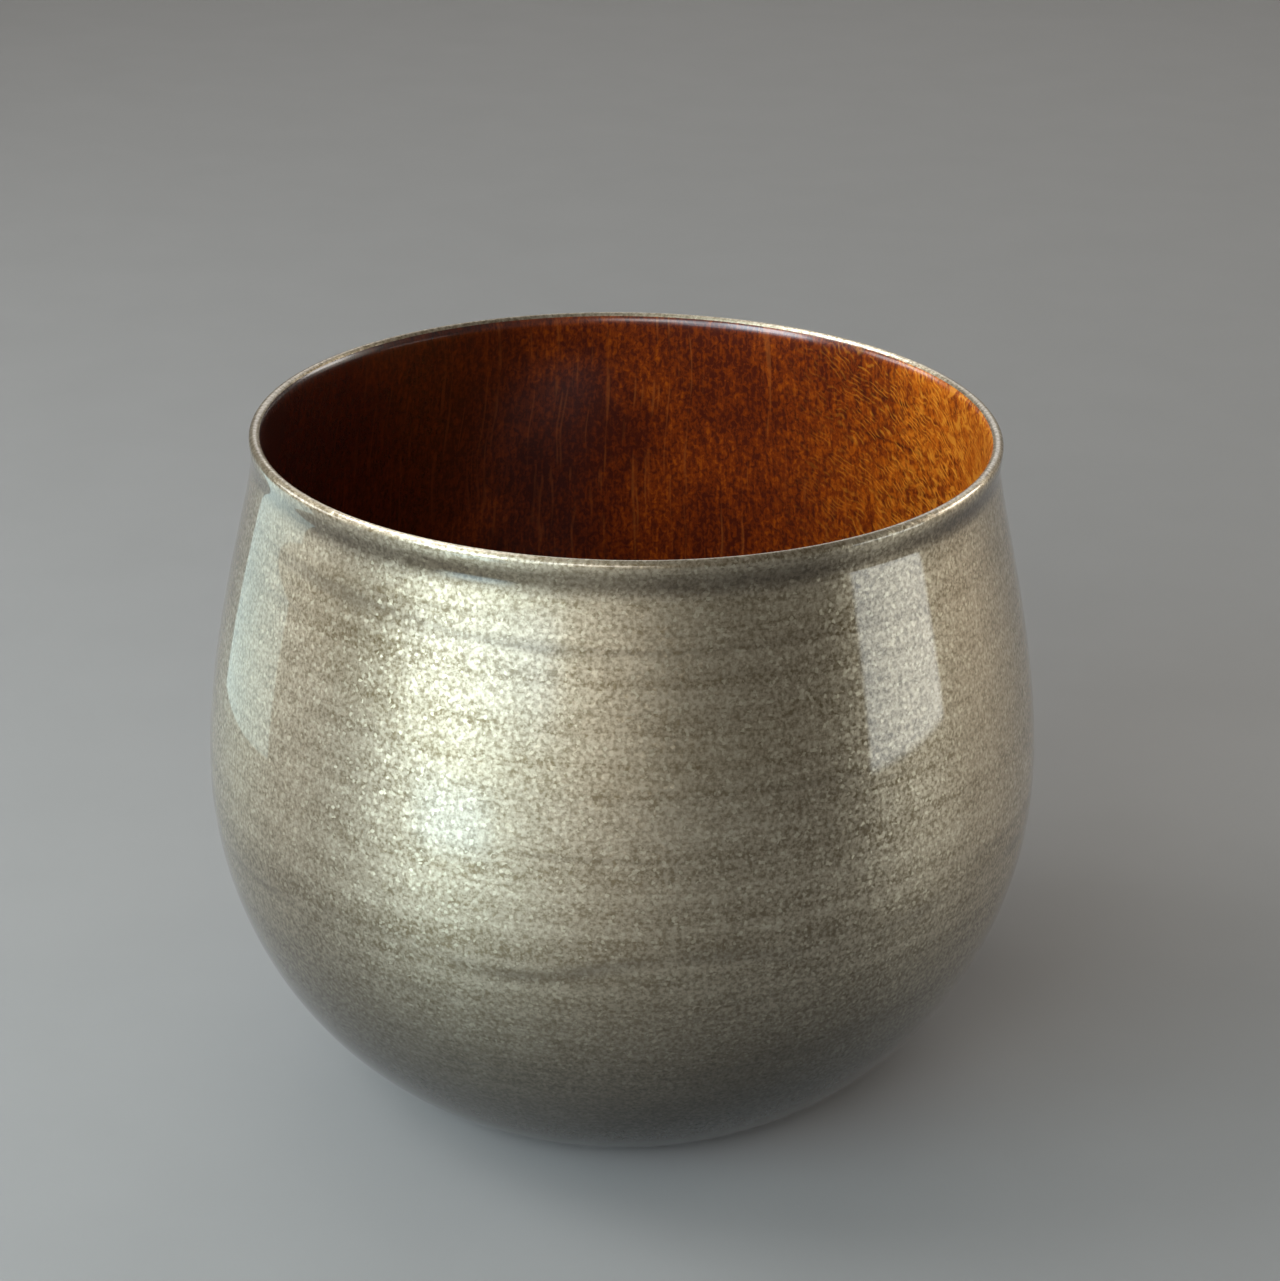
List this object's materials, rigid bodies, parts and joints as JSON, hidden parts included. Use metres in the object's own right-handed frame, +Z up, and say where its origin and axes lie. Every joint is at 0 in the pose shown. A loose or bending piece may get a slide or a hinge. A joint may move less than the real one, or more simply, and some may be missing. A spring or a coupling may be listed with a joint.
{
  "type": "lacquered wooden cup",
  "caption": "Round-bellied turned wooden drinking cup with a thin rounded lip, a metallic glossy lacquer outside and a transparent amber lacquer inside.",
  "frame": {"origin": "centre of the foot ring's resting face", "axes": "+Z up along the turning axis, out of the mouth; X and Y are alike"},
  "size_m": [0.084, 0.084, 0.07],
  "materials": {
    "wood": "turned hardwood, fine open grain",
    "amber_lacquer": "transparent amber lacquer, high gloss",
    "metallic_lacquer": "lacquer filled with champagne-pewter metal powder",
    "clear_lacquer": "clear lacquer, mirror gloss",
    "foot_lacquer": "dark lacquer, semi-gloss"
  },
  "bodies": {
    "root": {"wood_body": "wood", "amber_lining": "amber_lacquer", "metallic_coat": "metallic_lacquer", "clear_topcoat": "clear_lacquer", "foot_coat": "foot_lacquer"}
  },
  "joints": []
}
